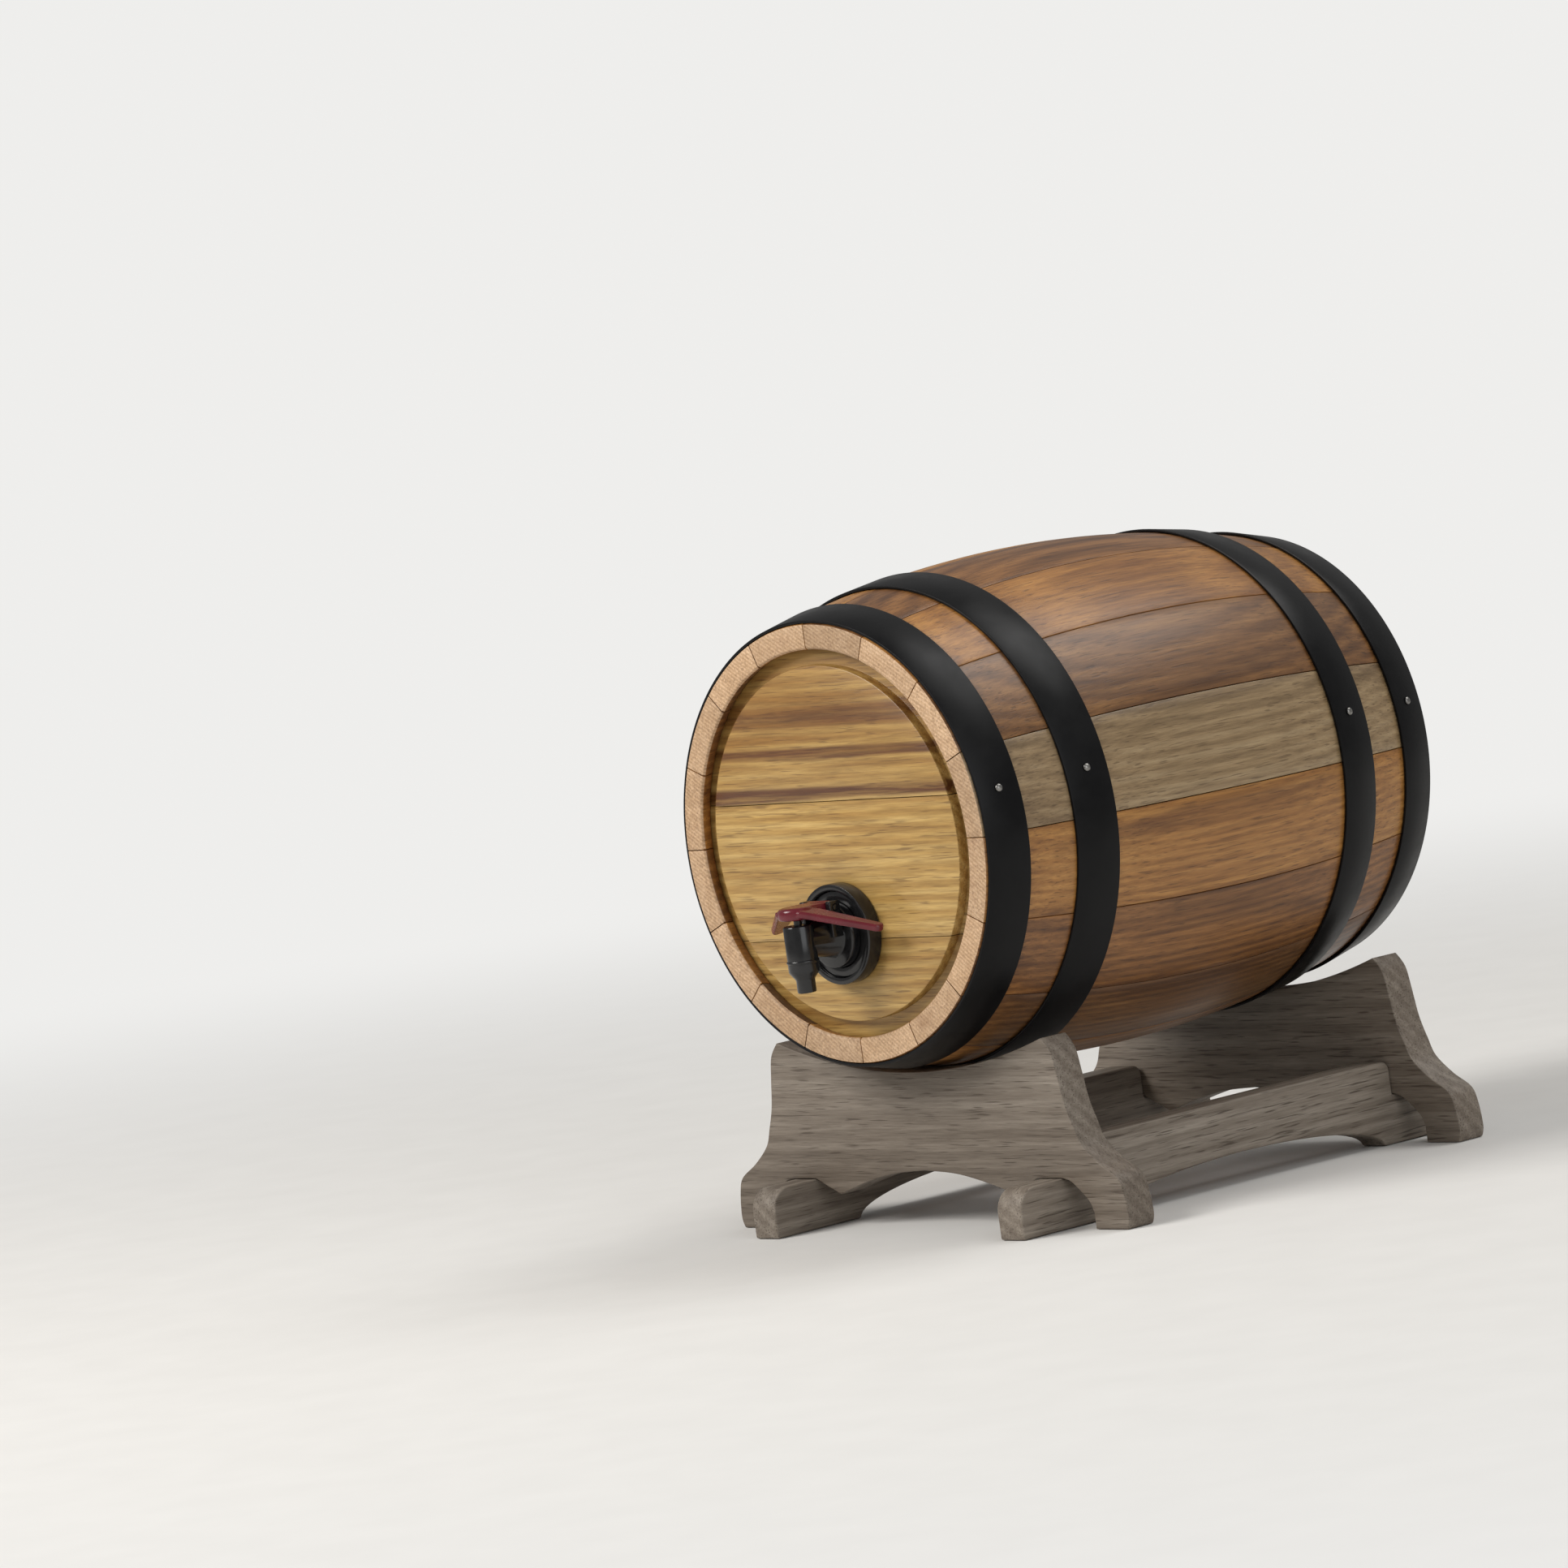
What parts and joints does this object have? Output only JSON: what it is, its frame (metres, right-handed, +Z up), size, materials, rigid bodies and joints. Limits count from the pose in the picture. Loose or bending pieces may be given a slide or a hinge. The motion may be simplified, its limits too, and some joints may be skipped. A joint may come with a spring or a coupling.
{
  "type": "cask drink dispenser",
  "caption": "Small oak cask lying on a cradle stand; it hides a bag of wine behind a loose rear lid and pours it through a lever tap in its front head",
  "frame": {"origin": "on the floor, in the middle of the overall width and of the overall length from the tap to the thumbscrews", "axes": "Y runs along the cask with the tapped head at -Y, X is to the right seen from the tap, Z is up"},
  "size_m": [0.23, 0.2868, 0.2625],
  "materials": {
    "stave_gold": "satin varnish",
    "stave_amber": "satin varnish",
    "stave_brown": "satin varnish",
    "stave_pale": "satin varnish",
    "head_oak": "satin varnish",
    "lid_oak": "satin varnish",
    "stand_wood": "thin matt varnish",
    "inner_wood": "bare",
    "hoop_black": "black satin",
    "tack_steel": "bare",
    "tap_black": "glossy",
    "lever_burgundy": "glossy",
    "seal_rubber": "matt",
    "pin_plastic": "matt",
    "brass": "satin",
    "bag_film": "metallised film"
  },
  "bodies": {
    "stand": {"cradle_front": "stand_wood", "cradle_rear": "stand_wood", "rail_left": "stand_wood", "rail_right": "stand_wood", "dowel_front_left": "inner_wood", "dowel_front_right": "inner_wood", "dowel_rear_left": "inner_wood", "dowel_rear_right": "inner_wood"},
    "cask": {"stave_01": "stave_pale", "stave_02": "stave_brown", "stave_03": "stave_gold", "stave_04": "stave_amber", "stave_05": "stave_gold", "stave_06": "stave_brown", "stave_07": "stave_amber", "stave_08": "stave_gold", "stave_09": "stave_amber", "stave_10": "stave_gold", "stave_11": "stave_brown", "stave_12": "stave_gold", "stave_13": "stave_amber", "stave_14": "stave_brown", "stave_15": "stave_amber", "stave_16": "stave_gold", "head_board_top": "head_oak", "head_board_middle": "head_oak", "head_board_bottom": "head_oak", "hoop_front_end": "hoop_black", "hoop_front_quarter": "hoop_black", "hoop_rear_quarter": "hoop_black", "hoop_rear_end": "hoop_black", "tack_front_end": "tack_steel", "tack_front_quarter": "tack_steel", "tack_rear_quarter": "tack_steel", "tack_rear_end": "tack_steel", "cleat_left": "inner_wood", "cleat_right": "inner_wood", "insert_left": "brass", "insert_right": "brass", "wine_bag": "bag_film", "tap_gland": "tap_black", "gland_collar": "tap_black"},
    "lid": {"lid_board_top": "lid_oak", "lid_board_middle": "lid_oak", "lid_board_bottom": "lid_oak", "lid_batten_left": "inner_wood", "lid_batten_right": "inner_wood"},
    "left_screw": {"thumbscrew_left": "brass"},
    "right_screw": {"thumbscrew_right": "brass"},
    "tap": {"tap_body": "tap_black", "tap_bonnet": "tap_black", "lever_pin": "pin_plastic", "barrel_seal": "seal_rubber"},
    "lever": {"tap_lever": "lever_burgundy"},
    "valve": {"tap_stem": "tap_black", "valve_seal": "seal_rubber"}
  },
  "joints": [
    {"name": "cask_lift", "type": "slide", "parent": "stand", "child": "cask", "axis": [0, 0, 1], "range_m": [0, 0.08]},
    {"name": "lid_slide", "type": "slide", "parent": "cask", "child": "lid", "axis": [0, 1, 0], "range_m": [0, 0.06]},
    {"name": "left_screw_turn", "type": "hinge", "parent": "lid", "child": "left_screw", "pos_m": [-0.068, 0.13535, 0.15953], "axis": [0, 1, 0], "range_deg": [0, 2160]},
    {"name": "right_screw_turn", "type": "hinge", "parent": "lid", "child": "right_screw", "pos_m": [0.068, 0.13535, 0.15953], "axis": [0, 1, 0], "range_deg": [0, 2160]},
    {"name": "tap_swivel", "type": "hinge", "parent": "cask", "child": "tap", "pos_m": [0, -0.1119, 0.12403], "axis": [0, 1, 0], "range_deg": [-90, 90]},
    {"name": "lever_press", "type": "hinge", "parent": "tap", "child": "lever", "pos_m": [0, -0.1232, 0.13583], "axis": [1, 0, 0], "range_deg": [0, 6.5], "stiffness_Nm_per_rad": 0.3, "springref_deg": -5.73},
    {"name": "valve_slide", "type": "slide", "parent": "tap", "child": "valve", "axis": [0, 0, -1], "range_m": [0, 0.0019]}
  ],
  "couplings": [
    {"joint": "valve_slide", "follows": "lever_press", "m_per_rad": 0.0143}
  ]
}
